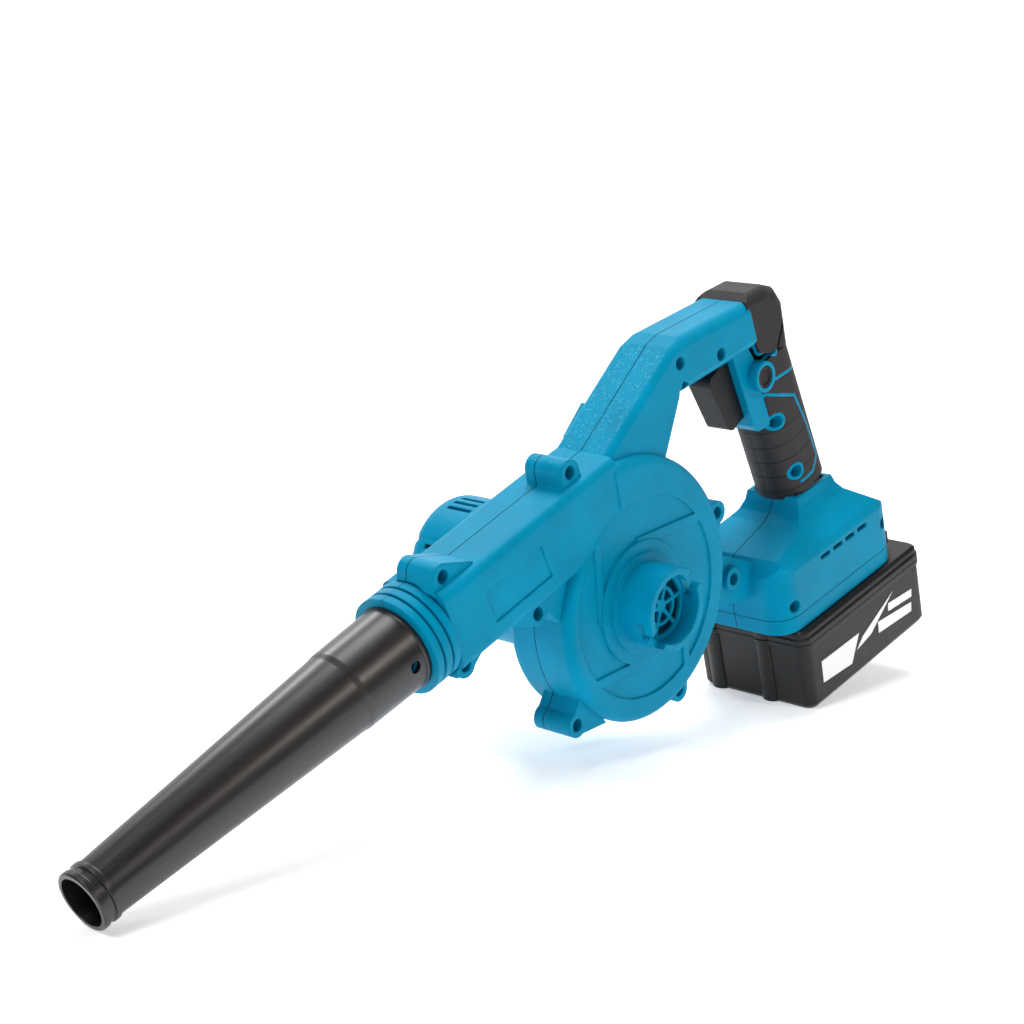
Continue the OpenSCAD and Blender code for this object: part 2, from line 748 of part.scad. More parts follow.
module windings() {
    z0 = motor_end + 16;
    z1 = motor_face - 7;
    color([0.72, 0.36, 0.14]) stand() {
        for (a = [0 : 36 : 324]) rotate([0, 0, a]) translate([motor_r - 11.7, -1.3, z0 + 1])
            cube([4, 2.6, z1 - z0 - 2]);
        ring(5, motor_r - 8.2, z0, z0 + 5.7);
        ring(5, motor_r - 8.2, z1 - 4.7, z1);
    }
}

module commutator() {
    color([0.75, 0.45, 0.2]) stand() difference() {
        disc(6, motor_end + 6, motor_end + 15);
        disc(shaft_r + 0.02, -200, 0);
    }
}

// ---- motor frame ----

module motor_can() {
    color([0.62, 0.62, 0.64]) stand() difference() {
        disc(motor_r, motor_end, motor_face);
        disc(motor_r - 1.5, motor_end - 1, motor_face - 1.8);
        disc(shaft_r + 1, motor_face - 5, 0);
        disc(6, motor_face - 20, motor_face - 1.2);
        for (a = [0, 180]) disc(1.55, motor_face - 5, 0, 14.5 * [cos(a), sin(a)]);
    }
}

module magnets() {
    color([0.22, 0.22, 0.24]) stand() for (turn = [20, 200]) rotate([0, 0, turn]) translate([0, 0, motor_end + 20])
        rotate_extrude(angle = 140) translate([motor_r - 6, 0]) square([4.45, motor_len - 30]);
}

module front_bearing() {
    color([0.7, 0.7, 0.72]) stand() {
        ring(shaft_r + 0.02, shaft_r + 1.1, motor_face - 6.2, motor_face - 1.3);
        ring(shaft_r + 2.4, 5.98, motor_face - 6.2, motor_face - 1.3);
        for (a = [0 : 45 : 315]) rotate([0, 0, a]) translate([shaft_r + 1.75, 0, motor_face - 3.7]) sphere(0.6);
    }
}

module rear_bearing() {
    color([0.7, 0.7, 0.72]) stand() {
        ring(shaft_r + 0.02, shaft_r + 1.1, motor_end - 1.6, motor_end + 2.6);
        ring(shaft_r + 2.4, 5.98, motor_end - 1.6, motor_end + 2.6);
        for (a = [0 : 45 : 315]) rotate([0, 0, a]) translate([shaft_r + 1.75, 0, motor_end + 0.5]) sphere(0.6);
    }
}

module brush_plate() {
    color([0.15, 0.13, 0.12]) stand() difference() {
        union() {
            disc(motor_r - 1.6, motor_end + 0.2, motor_end + 5);
            disc(9, motor_end - 2.2, motor_end + 1);
            for (a = [0, 180]) rotate([0, 0, a]) translate([8, -4.5, motor_end + 4]) cube([11, 9, 10]);
        }
        disc(6, motor_end - 1.7, motor_end + 2.7);
        disc(shaft_r + 1.5, -200, 0);
        for (a = [0, 180]) rotate([0, 0, a]) translate([5, -2.6, motor_end + 7.2]) cube([12, 5.2, 5.6]);
    }
}

module brushes() {
    color([0.1, 0.1, 0.1]) stand() for (a = [0, 180]) rotate([0, 0, a])
        translate([6.1, -2.5, motor_end + 7.3]) cube([9, 5, 5.4]);
}

module motor_cushion() {
    color([0.08, 0.08, 0.08]) stand() difference() {
        ring(motor_r + 0.02, motor_house_r - wall - 0.02, tube_end + 12, tube_end + 22);
        disc(3.4, -200, 0, [24.5, 12]);
        for (a = [20 : 40 : 340]) disc(3, -200, 0, (motor_r + 5.6) * [cos(a + 20), sin(a + 20)]);
    }
}

// ---- trigger, switch and electrics ----

module trigger() {
    h = trigger_half;
    color([0.1, 0.095, 0.1]) stand() at_trigger() difference() {
        union() {
            slab(-h, h) {
                round_box(-6.6, 14, -16.6, 18.6, 4);
                translate([6, -16.6]) square([8, 35.2]);
            }
            rotate([0, 90, 0]) disc(2.4, 10, plunger_tip);
        }
        rotate([0, 90, 0]) ring(2.4, 5.2, 1, 15);
    }
}

module trigger_spring() {
    color([0.6, 0.6, 0.62]) stand() at_trigger() translate([1.1, 0, 0]) rotate([0, 90, 0]) coil(3.8, 0.5, 22.8, 7);
}

module switch_body() {
    color([0.18, 0.18, 0.2]) stand() at_trigger() difference() {
        translate([24.1, -15, -9]) cube([17.5, 24, 18]);
        rotate([0, 90, 0]) disc(2.5, 20, plunger_tip + trigger_travel + 1);
    }
}

module lock_button() {
    color([0.1, 0.095, 0.1]) stand() difference() {
        union() {
            disc(5.8, boss_top - 2.6, boss_top - 0.4, lock_at);
            disc(2.5, throat_half - 2.2, boss_top - 2, lock_at);
        }
        disc(4.2, boss_top - 0.9, boss_top + 1, lock_at);
    }
}

module lock_spring() {
    color([0.6, 0.6, 0.62]) stand() translate([lock_at.x, lock_at.y, throat_half + 0.05])
        coil(4, 0.35, boss_top - 2.6 - throat_half - 0.1, 2);
}

module speed_board() {
    color([0.1, 0.35, 0.2]) stand() {
        translate([124, -48, -20]) cube([50, 1.6, 40]);
        translate([158, -46.4, -14]) cube([9, 8, 12]);
        for (x = [132, 146]) translate([x, -46.4, 13]) rotate([-90, 0, 0]) cylinder(r = 4, h = 9);
    }
}

module terminal_block() {
    color([0.12, 0.12, 0.13]) stand() difference() {
        translate([foot_front + 16.3, foot_base + foot_floor + 0.1, -13.8]) cube([10.2, 12, 27.6]);
        for (z = [-8, 8]) translate([foot_front + 18, foot_base + foot_floor + 2.9, z - 0.52]) cube([12, 4.2, 1.04]);
    }
}

module terminal_blades() {
    color([0.8, 0.62, 0.3]) stand() for (z = [-8, 8])
        translate([foot_front + 18.1, foot_base + foot_floor + 3, z - 0.5]) cube([18, 4, 1]);
}

// the leads lie inside the handle and the motor chamber
module wiring() {
    color([0.6, 0.08, 0.06]) stand() {
        lead([[113.5, -51.2, 4], [114, -46, 4], [118, -41, 4], [142, -36, 3], [148, -32, 3], [151, -24, 3],
            [152.5, -10, 3], [151, 8, 3], [147, 30, 3], [140, 54, 3]], 1.4);
        lead([[113.5, -51.2, -4], [114, -46, -4], [118, -41, -4], [145, -36, -3], [152, -32, -3], [155, -24, -3],
            [156.5, -10, -3], [155, 8, -3], [151, 30, -3], [144, 56, -3]], 1.4);
        lead([[133, 90, 3], [126, 97, 3], [110, 100.5, 2], [92, 100.5, 1], [76, 96, 0], [60, 91, -4],
            [48, 86, -8], [34, 80, -10], [27.5, 79, -12], [26, 77.8, -16.5], [24.5, 75.5, -19.6], [22.5, 70, -20.6],
            [21.5, 30, -20.6], [22.2, 24, -20.7], [23, 18, -23.5], [24.5, 12, -29], [24.5, 12, -40],
            [24.5, 12, motor_end + 4]], 1.3);
    }
}

// ---- battery ----

module pack_plan(inset, r) {
    round_box(pack_front + inset, pack_rear - inset, -pack_w / 2 + inset, pack_w / 2 - inset, r);
}

// plate of the pack between two heights
module pack_slab(y0, y1, inset, r) {
    translate([0, y0, 0]) rotate([-90, 0, 0]) linear_extrude(y1 - y0) pack_plan(inset, r);
}

module pack_screw_sites() {
    for (x = [pack_front + 6.5, pack_rear - 6.5], z = [6.5 - pack_w / 2, pack_w / 2 - 6.5]) translate([x, 0, z])
        rotate([-90, 0, 0]) children();
}

module battery_case() {
    c = pack_chamfer;
    color([0.11, 0.1, 0.11]) stand() difference() {
        union() {
            hull() {
                pack_slab(pack_bottom, pack_bottom + 0.1, c, 5, $fn = 32);
                pack_slab(pack_bottom + c, pack_bottom + c + 0.1, case_step, 6, $fn = 32);
            }
            pack_slab(pack_bottom + c, case_top - 3, case_step, 6);
            pack_slab(case_top - 3, case_top - 0.1, 0, 6.8);
        }
        pack_slab(pack_bottom + 2, case_top + 1, 2.6, 4.4);
        for (x = [pack_front + 24, pack_rear - 36]) translate([x, pack_bottom - 1, -pack_w / 2 - 1])
            cube([12, 5, 2.2]);
    }
}

// half-round ribs up the front of the case; their lower ends touch the ground
module case_ribs() {
    front = pack_front + case_step - rib_out;
    low = pack_bottom + (pack_low.x - front) * tan(pitch);
    color([0.11, 0.1, 0.11]) stand() for (z = rib_z) intersection() {
        translate([front + rib_r, low, z]) rotate([-90, 0, 0]) cylinder(r = rib_r, h = case_top - 3.1 - low);
        translate([front - 1, low - 1, z - rib_r]) cube([rib_out + 1, pack_h, 2 * rib_r]);
    }
}

module battery_cover() {
    color([0.12, 0.11, 0.12]) stand() {
        slab(-13, 13) translate([pack_rear - 8.4, case_top + 0.1]) square([6.6, 0.9]);
        cover_shell();
    }
}

module cover_shell() {
    difference() {
        union() {
            pack_slab(case_top, case_top + 3, 0, 6.8);
            pack_slab(case_top + 3, pack_top - 1.4, case_step, 6);
            hull() {
                pack_slab(pack_top - 1.5, pack_top - 1.4, case_step, 6, $fn = 32);
                pack_slab(pack_top - 0.1, pack_top, 2.4, 5, $fn = 32);
            }
            platform_solid();
            pack_screw_sites() disc(4.4, case_top, pack_top - 1);
        }
        pack_slab(case_top - 1, pack_top - 2, 2.6, 4.4, $fn = 48);
        slab(-rail_half + 2.5, rail_half - 2.5) translate([platform[0] + 2, pack_top - 4])
            square([platform[1] - platform[0] - 16, platform_top - pack_top + 2]);
        contact_slots();
        release_pocket();
        pack_screw_sites() {
            disc(1.3, case_top - 1, pack_top - 2.6);
        }
    }
}

module platform_solid() {
    neck = rail_half - rail_grip;
    slab(-neck, neck) translate([platform[0], pack_top - 1]) square([platform[1] - platform[0], 8]);
    slab(-rail_half, rail_half) translate([platform[0], foot_base + foot_floor + gap])
        square([platform[1] - platform[0], platform_top - foot_base - foot_floor - gap]);
}

module contact_slots() {
    for (z = [-8, 8]) slab(z - 1.1, z + 1.1) translate([platform[0] - 1, foot_base + foot_floor + 2])
        square([20, 6]);
}

// recess at the back of the platform for the release button
module release_pocket() {
    slab(-12 - gap, 12 + gap) translate([platform[1] - 9 - gap, case_top + 1]) square([40, 30]);
}

module release_button() {
    color([0.09, 0.085, 0.09]) stand() slab(-12, 12) polygon([[platform[1] - 9, pack_top - 3],
        [platform[1] - 9, platform_top - 0.5], [platform[1] - 5, platform_top - 0.5],
        [platform[1] - 3, pack_top + 4], [pack_rear - 4, pack_top + 4], [pack_rear - 0.6, pack_top + 0.5],
        [pack_rear - 0.6, case_top + 4.6], [pack_rear - 3, case_top + 4.6], [pack_rear - 3, pack_top - 3]]);
}

module release_spring() {
    color([0.6, 0.6, 0.62]) stand() translate([pack_rear - 5.6, case_top + 1.1, 0])
        rotate([-90, 0, 0]) coil(2.6, 0.4, pack_top - 3.1 - case_top - 1.1, 3);
}

cell_x = [for (i = [0 : 4]) pack_front + pack_len / 2 + (i - 2) * (2 * cell_r + 1.6)];
cell_y = [pack_bottom + 2.6 + cell_r, pack_bottom + 3.2 + 3 * cell_r];

module battery_cells() {
    color([0.2, 0.45, 0.65]) stand() for (x = cell_x, y = cell_y) disc(cell_r, -cell_len / 2, cell_len / 2, [x, y]);
}

module cell_holders() {
    color([0.9, 0.9, 0.86]) stand() for (side = [0, 1]) mirror([0, 0, side]) difference() {
        slab(cell_len / 2 - 8, cell_len / 2 - 2) translate([cell_x[0] - cell_r - 0.4, cell_y[0] - cell_r + 0.5])
            square([cell_x[4] - cell_x[0] + 2 * cell_r + 0.8, cell_y[1] - cell_y[0] + 2 * cell_r - 1]);
        for (x = cell_x, y = cell_y) disc(cell_r + 0.05, 0, cell_len, [x, y]);
    }
}

module cell_straps() {
    color([0.75, 0.75, 0.76]) stand() for (side = [0, 1], x = cell_x) mirror([0, 0, side])
        translate([x - 4, cell_y[0] - 4, cell_len / 2 + 0.02]) cube([8, cell_y[1] - cell_y[0] + 8, 0.3]);
}

module battery_board() {
    color([0.1, 0.35, 0.2]) stand() translate([platform[0] + 6, case_top + 1.2, -19]) cube([58, 1.6, 38]);
}

module battery_contacts() {
    color([0.8, 0.62, 0.3]) stand() for (z = [-8, 8], side = [0, 1])
        translate([platform[0] + 3, foot_base + foot_floor + 2.6, z + (side == 0 ? 0.52 : -0.92)])
            cube([12, 4.6, 0.4]);
}

module battery_screws() {
    color([0.3, 0.3, 0.32]) stand() pack_screw_sites() {
        disc(1.25, case_top - 6, pack_top - 3);
    }
}

// plain white shapes, one set on each side of the battery
module label_shapes() {
    x = pack_front;
    y = pack_bottom;
    polygon([[x + 13.5, y + 24], [x + 13, y + 11.5], [x + 39.5, y + 9], [x + 49, y + 23]]);
    polygon([[x + 45.5, y + 14.4], [x + 60, y + 17], [x + 84, y + 31], [x + 52.4, y + 19.5]]);
    polygon([[x + 79, y + 26.2], [x + 78, y + 21.8], [x + 101.2, y + 19.4], [x + 102, y + 23.8]]);
    polygon([[x + 67.6, y + 20.4], [x + 67.2, y + 13.7], [x + 99.5, y + 11.1], [x + 100.5, y + 16.3]]);
}

module near_label() {
    color([0.95, 0.95, 0.95]) stand() slab(pack_w / 2 - 0.8, pack_w / 2 - 0.5) label_shapes();
}

module far_label() {
    color([0.95, 0.95, 0.95]) stand() slab(-pack_w / 2 + 0.5, -pack_w / 2 + 0.8) label_shapes();
}

housing_near();
housing_far();
motor_cover();
outlet_collar();
intake_guard();
nozzle();
grip_near();
grip_far();
handle_cap();
housing_screws();
cover_screws();
impeller();
fan_nut();
motor_shaft();
armature();
windings();
commutator();
motor_can();
magnets();
brush_plate();
brushes();
front_bearing();
rear_bearing();
motor_screws();
motor_cushion();
trigger();
trigger_spring();
switch_body();
lock_button();
lock_spring();
speed_board();
terminal_block();
terminal_blades();
wiring();
battery_case();
case_ribs();
battery_cover();
battery_cells();
cell_holders();
cell_straps();
battery_board();
battery_contacts();
battery_screws();
release_button();
release_spring();
near_label();
far_label();
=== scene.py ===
"""Looks of the cordless blower: studio, camera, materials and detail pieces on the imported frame."""

import json
import math

import bmesh
import bpy
from mathutils import Euler, Matrix, Vector


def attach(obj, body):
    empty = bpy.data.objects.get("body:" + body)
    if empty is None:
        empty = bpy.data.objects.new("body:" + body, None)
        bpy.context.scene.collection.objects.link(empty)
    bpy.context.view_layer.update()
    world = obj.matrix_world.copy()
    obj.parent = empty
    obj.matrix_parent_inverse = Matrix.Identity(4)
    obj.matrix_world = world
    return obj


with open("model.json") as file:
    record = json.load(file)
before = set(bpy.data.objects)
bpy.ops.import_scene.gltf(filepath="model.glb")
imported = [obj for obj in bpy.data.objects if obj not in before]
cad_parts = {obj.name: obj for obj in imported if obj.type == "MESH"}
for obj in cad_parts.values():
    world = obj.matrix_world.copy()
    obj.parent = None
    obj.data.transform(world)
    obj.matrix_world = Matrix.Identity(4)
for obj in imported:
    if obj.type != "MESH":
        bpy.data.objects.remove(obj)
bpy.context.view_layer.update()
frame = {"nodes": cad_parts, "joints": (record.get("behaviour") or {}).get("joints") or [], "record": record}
nodes = frame["nodes"]
joints = {j["name"]: j for j in frame["joints"]}

FAN = Vector(joints["fan_spin"]["pos_m"])
NOZZLE_WAY = Vector(joints["nozzle_pull"]["axis"]).normalized()
RAIL_WAY = Vector(joints["battery_slide"]["axis"]).normalized()
MM = 0.001
RAIL_UP = Vector((-RAIL_WAY.z, 0, RAIL_WAY.x))


def drawn(x, y, z=0.0):
    """Point given along the battery rails, up from them and towards the intake, in mm from the fan."""
    return FAN + (RAIL_WAY * x + RAIL_UP * y + Vector((0, -z, 0))) * MM


def linear(r, g, b):
    """Linear colour of an sRGB colour given in 0-255."""
    return tuple(
        (c / 255 / 12.92) if c <= 10 else ((c / 255 + 0.055) / 1.055) ** 2.4
        for c in (r, g, b)
    ) + (1.0,)


# ---- studio ----


def look_at(obj, place, target, roll=0.0):
    obj.location = place
    turn = (Vector(target) - Vector(place)).to_track_quat("-Z", "Y").to_matrix()
    obj.rotation_euler = (turn @ Matrix.Rotation(roll, 3, "Z")).to_euler()


def make_camera(azimuth, elevation, roll, distance, target, lens):
    cam = bpy.data.objects.new("camera", bpy.data.cameras.new("camera"))
    bpy.context.collection.objects.link(cam)
    a, e = math.radians(azimuth), math.radians(elevation)
    back = Vector((math.sin(a) * math.cos(e), -math.cos(a) * math.cos(e), math.sin(e)))
    look_at(cam, Vector(target) + back * distance, target, math.radians(roll))
    cam.data.lens = lens
    cam.data.sensor_width = 36
    cam.data.clip_end = 50
    bpy.context.scene.camera = cam


def area_light(name, place, target, size, power, tint):
    light = bpy.data.lights.new(name, "AREA")
    light.shape = "DISK"
    light.size = size
    light.energy = power
    light.color = tint
    obj = bpy.data.objects.new(name, light)
    bpy.context.collection.objects.link(obj)
    look_at(obj, place, target)


def make_floor(half, curve):
    """Pale sweep: a floor that curves up into a backdrop behind the object."""
    reach = 2.6 * half
    profile = [(-reach, 0.0), (half - curve, 0.0)]
    steps = 12
    for i in range(1, steps + 1):
        a = math.pi / 2 * i / steps
        profile.append((half - curve + curve * math.sin(a), curve * (1 - math.cos(a))))
    profile.append((half, half))
    points = [(x, y, z) for y, z in profile for x in (-reach, reach)]
    faces = [(2 * i, 2 * i + 1, 2 * i + 3, 2 * i + 2) for i in range(len(profile) - 1)]
    mesh = bpy.data.meshes.new("floor")
    mesh.from_pydata(points, [], faces)
    floor = bpy.data.objects.new("floor", mesh)
    bpy.context.collection.objects.link(floor)
    floor.rotation_euler = Euler((0, 0, math.radians(-44)))
    for face in mesh.polygons:
        face.use_smooth = True
    return floor


# ---- materials ----


class Look:
    """A node material under construction, with short names for the nodes it uses."""

    def __init__(self, name):
        self.mat = bpy.data.materials.new(name)
        self.mat.use_nodes = True
        self.tree = self.mat.node_tree
        self.shader = self.tree.nodes["Principled BSDF"]
        self.place = self.add("ShaderNodeTexCoord").outputs["Object"]

    def add(self, kind, **values):
        node = self.tree.nodes.new(kind)
        for key, value in values.items():
            setattr(node, key, value)
        return node

    def link(self, source, target):
        self.tree.links.new(source, target)

    def put(self, source, socket):
        """Leads a source into a socket of the shader."""
        self.link(source, self.shader.inputs[socket])

    def so_far(self, socket):
        """What leads into a socket of the shader now."""
        return self.shader.inputs[socket].links[0].from_socket

    def set(self, **values):
        """Uniform values of the shader's sockets, with _ for a space."""
        for key, value in values.items():
            self.shader.inputs[key.replace("_", " ")].default_value = value

    def stretched(self, turn, scale):
        """The part's coordinates turned and stretched, for grain that runs one way."""
        node = self.add("ShaderNodeMapping", vector_type="TEXTURE")
        node.inputs["Rotation"].default_value = turn
        node.inputs["Scale"].default_value = scale
        self.link(self.place, node.inputs["Vector"])
        return node.outputs["Vector"]

    def noise(self, per_metre, detail=3.0, rough=0.55, place=None):
        node = self.add("ShaderNodeTexNoise")
        node.inputs["Scale"].default_value = per_metre
        node.inputs["Detail"].default_value = detail
        node.inputs["Roughness"].default_value = rough
        self.link(place or self.place, node.inputs["Vector"])
        return node.outputs["Fac"]

    def ranged(self, source, low, high, to_low, to_high):
        node = self.add("ShaderNodeMapRange")
        limits = {"From Min": low, "From Max": high, "To Min": to_low, "To Max": to_high}
        for key, value in limits.items():
            node.inputs[key].default_value = value
        self.link(source, node.inputs["Value"])
        return node.outputs["Result"]

    def sum(self, a, b, kind="ADD"):
        node = self.add("ShaderNodeMath", operation=kind)
        for socket, value in zip(node.inputs, (a, b)):
            if isinstance(value, (int, float)):
                socket.default_value = value
            else:
                self.link(value, socket)
        return node.outputs[0]

    def mixed(self, share, a, b):
        node = self.add("ShaderNodeMix", data_type="RGBA")
        self.link(share, node.inputs[0])
        for socket, value in ((node.inputs[6], a), (node.inputs[7], b)):
            if isinstance(value, tuple):
                socket.default_value = value
            else:
                self.link(value, socket)
        return node.outputs[2]

    def soft_edges(self, radius):
        """(normal rounded at the edges, mask of the edges)."""
        bevel = self.add("ShaderNodeBevel", samples=6)
        bevel.inputs["Radius"].default_value = radius
        flat = self.add("ShaderNodeNewGeometry").outputs["Normal"]
        dot = self.add("ShaderNodeVectorMath", operation="DOT_PRODUCT")
        self.link(bevel.outputs["Normal"], dot.inputs[0])
        self.link(flat, dot.inputs[1])
        return bevel.outputs["Normal"], self.ranged(dot.outputs["Value"], 0.99, 0.8, 0.0, 1.0)

    def along(self, direction, start):
        """Distance in metres along a direction from a point."""
        node = self.add("ShaderNodeVectorMath", operation="DOT_PRODUCT")
        self.link(self.place, node.inputs[0])
        node.inputs[1].default_value = direction
        return self.sum(node.outputs["Value"], -Vector(direction).dot(start))

    def groove(self, distance, half):
        """1 in the middle of a groove at distance 0, 0 past its half width."""
        return self.ranged(self.sum(distance, 0, "ABSOLUTE"), half * 0.5, half, 1.0, 0.0)

    def cut(self, groove, depth, shade):
        """Sinks a groove into the finished colour and normal."""
        dark = self.mixed(self.sum(groove, 0.7, "MULTIPLY"), self.so_far("Base Color"), shade)
        self.put(dark, "Base Color")
        sunk = self.bump(self.sum(groove, -1, "MULTIPLY"), depth, self.so_far("Normal"))
        self.put(sunk, "Normal")

    def bump(self, height, depth, normal=None):
        node = self.add("ShaderNodeBump")
        node.inputs["Strength"].default_value = 1.0
        node.inputs["Distance"].default_value = depth
        self.link(height, node.inputs["Height"])
        if normal:
            self.link(normal, node.inputs["Normal"])
        return node.outputs["Normal"]


def moulded(
    name, colour, rough, grain=1500, depth=0.03 * MM, edge=0.5 * MM, worn=None, specular=0.5, mottle=0.06
):
    """Moulded plastic: fine spark texture, faint flow marks and lighter worn edges."""
    look = Look(name)
    normal, rim = look.soft_edges(edge)
    cloud = look.noise(35, detail=4)
    dark = tuple(c * (1 - 2 * mottle) for c in colour[:3]) + (1.0,)
    light = tuple(min(c * (1 + 2 * mottle), 1.0) for c in colour[:3]) + (1.0,)
    tone = look.mixed(look.ranged(cloud, 0.3, 0.7, 0.0, 1.0), dark, light)
    fine = look.noise(grain, detail=2, rough=0.6)
    scuff = look.sum(rim, look.ranged(look.noise(160, detail=5), 0.45, 0.7, 0.0, 0.75), "MULTIPLY")
    pale = worn or tuple(min(c * 1.5 + 0.03, 1.0) for c in colour[:3]) + (1.0,)
    look.put(look.mixed(scuff, tone, pale), "Base Color")
    look.put(look.ranged(look.sum(cloud, fine), 0.6, 1.4, rough - 0.05, rough + 0.07), "Roughness")
    look.put(look.bump(fine, depth, normal), "Normal")
    look.set(Specular_IOR_Level=specular)
    return look


def metal(name, colour, rough, brushed=None, edge=0.2 * MM):
    """Machined metal: directional scratches and slight staining."""
    look = Look(name)
    normal, rim = look.soft_edges(edge)
    place = look.stretched((0, 0, 0), brushed) if brushed else look.place
    lines = look.noise(900, detail=3, place=place)
    stain = look.noise(70, detail=4)
    dull = tuple(c * 0.8 for c in colour[:3]) + (1.0,)
    look.put(look.mixed(look.ranged(stain, 0.35, 0.65, 0, 1), dull, colour), "Base Color")
    look.put(look.ranged(lines, 0.3, 0.7, rough - 0.08, rough + 0.1), "Roughness")
    look.put(look.bump(lines, 0.01 * MM, normal), "Normal")
    look.set(Metallic=1.0)
    return look


BLUE = linear(0, 136, 174)
SOFT_BLACK = linear(34, 30, 32)

# the sloping facet on top of the arm: its normal, and its lower end
ARM_RISE = math.radians(28.3) + math.atan2(RAIL_WAY.z, RAIL_WAY.x)
ARM_SLOPE = Vector((-math.sin(ARM_RISE), 0, math.cos(ARM_RISE)))
ARM_FOOT = FAN + Vector((-0.030, 0, 0.066))


def housing_blue():
    """Blue shell: fine spark texture, coarse grain on the arm's slope with painted sheen in lighter specks,
    and the parting grooves.
    """
    look = moulded(
        "housing_blue",
        BLUE,
        0.48,
        grain=1800,
        depth=0.02 * MM,
        edge=1.4 * MM,
        specular=0.16,
        worn=linear(28, 160, 196),
    )
    up = look.add("ShaderNodeVectorMath", operation="DOT_PRODUCT")
    look.link(look.add("ShaderNodeNewGeometry").outputs["Normal"], up.inputs[0])
    up.inputs[1].default_value = ARM_SLOPE
    spot = look.add("ShaderNodeSeparateXYZ")
    look.link(look.place, spot.inputs[0])
    high = look.ranged(spot.outputs["Z"], ARM_FOOT.z, ARM_FOOT.z + 2 * MM, 0, 1)
    area = look.sum(look.ranged(up.outputs["Value"], 0.985, 0.995, 0, 1), high, "MULTIPLY")
    coarse = look.noise(620, detail=3, rough=0.7)
    # painted sheen: lighter specks on the arm's grained facet stand in for the grain catching light; the
    # grain's bump itself is real
    painted_sheen_speck = look.sum(look.ranged(coarse, 0.55, 0.68, 0, 0.5), area, "MULTIPLY")
    look.put(look.mixed(painted_sheen_speck, look.so_far("Base Color"), linear(96, 184, 206)), "Base Color")
    grained = look.bump(look.sum(coarse, area, "MULTIPLY"), 0.35 * MM, look.so_far("Normal"))
    look.put(grained, "Normal")
    look.set(Specular_Tint=(0.05, 0.8, 1.0, 1.0))
    shade = linear(0, 62, 86)
    look.cut(look.groove(look.along((0, 1, 0), FAN), 0.28 * MM), 0.3 * MM, shade)
    rim = look.groove(look.along(RAIL_UP, drawn(0, -58)), 0.35 * MM)
    foot = look.ranged(look.along(RAIL_WAY, drawn(88, 0)), 0, 1 * MM, 0, 1)
    look.cut(look.sum(rim, foot, "MULTIPLY"), 0.3 * MM, shade)
    return look


def grip_rubber():
    """Soft moulded sleeve with thin grooves across its lower half."""
    look = moulded(
        "grip_rubber", SOFT_BLACK, 0.6, grain=2600, depth=0.05 * MM, edge=1.0 * MM, specular=0.4
    )
    lean = math.radians(12)
    up = RAIL_UP * math.cos(lean) - RAIL_WAY * math.sin(lean)
    height = look.along(up, drawn(153.5, -6))
    phase = look.sum(look.sum(height, 1 / (9.5 * MM), "MULTIPLY"), 0, "FRACT")
    lines = look.groove(look.sum(phase, -0.5), 0.05)
    lower = look.ranged(height, 50 * MM, 52 * MM, 1, 0)
    look.cut(look.sum(lines, lower, "MULTIPLY"), 0.5 * MM, linear(14, 12, 13))
    return look


def nozzle_black():
    """Satin black nozzle with faint streaks that run along it."""
    look = Look("nozzle_black")
    normal, rim = look.soft_edges(0.5 * MM)
    tilt = math.atan2(-NOZZLE_WAY.z, NOZZLE_WAY.x)
    along = look.stretched((0, tilt, 0), (22.0, 1.0, 1.0))
    streaks = look.noise(420, detail=4, rough=0.65, place=along)
    broad = look.noise(60, detail=3, place=along)
    tone = look.mixed(look.ranged(streaks, 0.35, 0.7, 0, 1), linear(17, 14, 14), linear(30, 25, 25))
    worn = look.sum(rim, 0.4, "MULTIPLY")
    look.put(look.mixed(worn, tone, linear(80, 76, 80)), "Base Color")
    look.put(look.ranged(look.sum(streaks, broad), 0.6, 1.4, 0.28, 0.38), "Roughness")
    look.put(look.bump(streaks, 0.012 * MM, normal), "Normal")
    look.set(Specular_IOR_Level=0.6)
    return look


# the battery's front wall, and the joint of its case and cover, as drawn() takes them
PACK_FRONT = 99.8
PACK_JOINT = -74.35


def pack_black():
    """Battery plastic with the joint line of its case and cover all round."""
    look = moulded(
        "pack_black", linear(13, 12, 13), 0.44, grain=2200, depth=0.04 * MM, edge=1.2 * MM, specular=0.35
    )
    height = look.along(RAIL_UP, drawn(0, PACK_JOINT))
    look.cut(look.groove(height, 0.4 * MM), 0.35 * MM, linear(4, 4, 4))
    return look


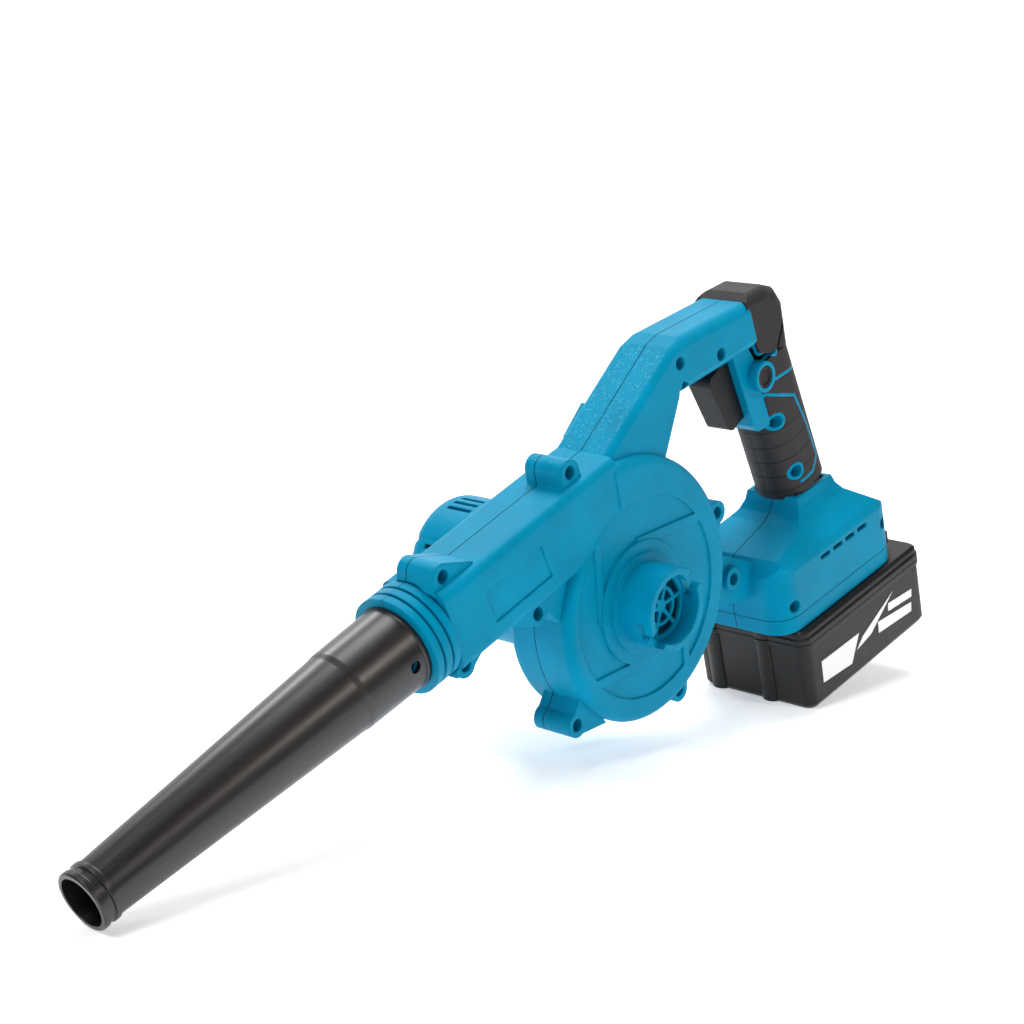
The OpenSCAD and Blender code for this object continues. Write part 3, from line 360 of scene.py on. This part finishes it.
MATERIALS = {
    "housing_blue": housing_blue(),
    "nozzle_black": nozzle_black(),
    "grip_rubber": grip_rubber(),
    "trigger_black": moulded("trigger_black", linear(17, 15, 17), 0.46, edge=0.8 * MM, specular=0.3),
    "pack_black": pack_black(),
    "label_white": moulded(
        "label_white", linear(246, 246, 246), 0.35, depth=0.003 * MM, edge=0.1 * MM, mottle=0.01
    ),
    "fan_plastic": moulded("fan_plastic", linear(60, 62, 66), 0.5),
    "screw_steel": metal("screw_steel", linear(20, 20, 24), 0.45),
    "bright_steel": metal("bright_steel", linear(205, 205, 208), 0.28, brushed=(1, 0.08, 1)),
    "laminations": metal("laminations", linear(120, 118, 116), 0.5, brushed=(3, 0.25, 3)),
    "copper": metal("copper", linear(214, 128, 82), 0.35, brushed=(1, 1, 0.11)),
    "zinc_steel": metal("zinc_steel", linear(190, 192, 196), 0.4),
    "ferrite": moulded("ferrite", linear(58, 56, 56), 0.7, grain=900),
    "carbon": moulded("carbon", linear(40, 40, 42), 0.8, grain=700),
    "seal_rubber": moulded("seal_rubber", linear(34, 33, 34), 0.75),
    "board_green": moulded("board_green", linear(26, 96, 52), 0.3, grain=600),
    "contact_brass": metal("contact_brass", linear(214, 186, 112), 0.3),
    "lead_red": moulded("lead_red", linear(150, 28, 26), 0.5),
    "cell_wrap": moulded("cell_wrap", linear(48, 96, 150), 0.3, depth=0.01 * MM),
    "holder_white": moulded("holder_white", linear(214, 212, 204), 0.55),
    "nickel": metal("nickel", linear(200, 198, 192), 0.32),
}

for part in frame["record"]["subparts"]:
    mesh = nodes[part["node"]].data
    mesh.materials.clear()
    mesh.materials.append(MATERIALS[part["material_slot"]].mat)

# ---- pieces ----


def lofted(name, rings, body, slot):
    """Closed mesh through rings of equal point count, smooth along its length."""
    count = len(rings[0])
    points = [p for ring in rings for p in ring]
    faces = []
    for i in range(len(rings) - 1):
        for k in range(count):
            a, b = i * count + k, i * count + (k + 1) % count
            faces.append((a, b, b + count, a + count))
    faces.append(tuple(range(count - 1, -1, -1)))
    faces.append(tuple(range((len(rings) - 1) * count, len(rings) * count)))
    mesh = bpy.data.meshes.new(name)
    mesh.from_pydata([tuple(p) for p in points], [], faces)
    work = bmesh.new()
    work.from_mesh(mesh)
    bmesh.ops.recalc_face_normals(work, faces=work.faces)
    work.to_mesh(mesh)
    work.free()
    for face in mesh.polygons:
        face.use_smooth = len(face.vertices) == 4
    piece = bpy.data.objects.new(name, mesh)
    bpy.context.collection.objects.link(piece)
    mesh.materials.append(MATERIALS[slot].mat)
    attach(piece, body)
    return piece


RIB_WIDE = 5.2     # half width of a rib, and how far it stands out of the wall
RIB_PROUD = 2.3
RIB_ROUND = 4.5    # length of the rounding at the cover rib's top
RIB_ARC = 16       # faces across a rib, and along it
RIB_STEPS = 24


def rib_ring(y, z, share):
    """Outline of a rib at height y; share is 1 where it stands out fully and 0 at a rounded end."""
    proud = RIB_PROUD * share
    wide = RIB_WIDE * (0.8 + 0.2 * share)
    ring = []
    for k in range(RIB_ARC + 1):
        a = math.pi * k / RIB_ARC
        ring.append(drawn(PACK_FRONT + 0.2 - (proud + 0.2) * math.sin(a), y, z + wide * math.cos(a)))
    return ring + [drawn(PACK_FRONT + 0.9, y, z + end * wide) for end in (-1, 1)]


def front_rib(name, z, low, high, rounding=0.0):
    """Half-round rib on the battery's front between two heights, with a rounded top if asked."""
    rings = []
    for i in range(RIB_STEPS + 1):
        y = low + (high - low) * i / RIB_STEPS
        share = 1.0
        if high - y < rounding:
            share = math.sqrt(max(1 - ((rounding - high + y) / rounding) ** 2, 0))
        rings.append(rib_ring(y, z, share))
    return lofted(name, rings, "battery", "pack_black")


for side, z in (("right", 9.0), ("left", -24.75)):
    front_rib("case_rim_rib_" + side, z, PACK_JOINT - 3.2, PACK_JOINT - 0.2)
    front_rib("cover_rib_" + side, z, PACK_JOINT + 0.2, PACK_JOINT + 6.9, RIB_ROUND)

# ---- stage ----

floor = make_floor(half=3.5, curve=1.2)
sweep = Look("floor_paper")
paper = sweep.noise(260, detail=3)
sweep.put(sweep.mixed(paper, linear(249, 249, 250), linear(253, 253, 253)), "Base Color")
sweep.put(sweep.bump(paper, 0.02 * MM), "Normal")
sweep.set(Roughness=0.85, Emission_Color=(1, 1, 1, 1), Emission_Strength=0.42)
floor.data.materials.append(sweep.mat)

aim = FAN + Vector((-0.0263, 0.0409, 0.0386))
make_camera(azimuth=-47.46, elevation=12.11, roll=0.73, distance=1.0331, target=aim, lens=74.08)

WHITE = (1, 1, 1)
WARM = (1, 0.93, 0.86)
STREAK_REACH = 1.6
middle = FAN + Vector((0, 0.03, 0))
tube = FAN + Vector((-0.2, 0, 0))
backdrop = middle + Vector((2.6, 2.4, 0.6))

# name, place, what it points at, size in metres, power in watts, tint; the streak lights are
# placed so that the nozzle mirrors them along its length
LIGHTS = (
    ("key", middle + Vector((-1.2, -0.1, 1.5)), middle, 0.8, 16, WHITE),
    ("front", middle + Vector((-0.5, -1.7, 0.7)), middle, 1.0, 3, WHITE),
    ("streak_front", tube + Vector((0.29, -0.77, 0.56)) * STREAK_REACH, tube, 0.3, 3.5, WARM),
    ("streak_back", tube + Vector((0.24, 0.72, 0.65)) * STREAK_REACH, tube, 0.45, 4.5, WHITE),
    ("top", middle + Vector((0.4, 0.3, 1.5)), middle, 0.9, 18, WHITE),
    ("back", middle + Vector((1.2, 1.1, 1.6)), backdrop, 1.5, 30, WHITE),
)
for light in LIGHTS:
    area_light(*light)

world = bpy.data.worlds.new("studio")
world.use_nodes = True
sky = world.node_tree.nodes["Background"]
sky.inputs["Color"].default_value = (1, 1, 1, 1)
sky.inputs["Strength"].default_value = 0.18
bpy.context.scene.world = world
bpy.context.scene.view_settings.view_transform = "Standard"
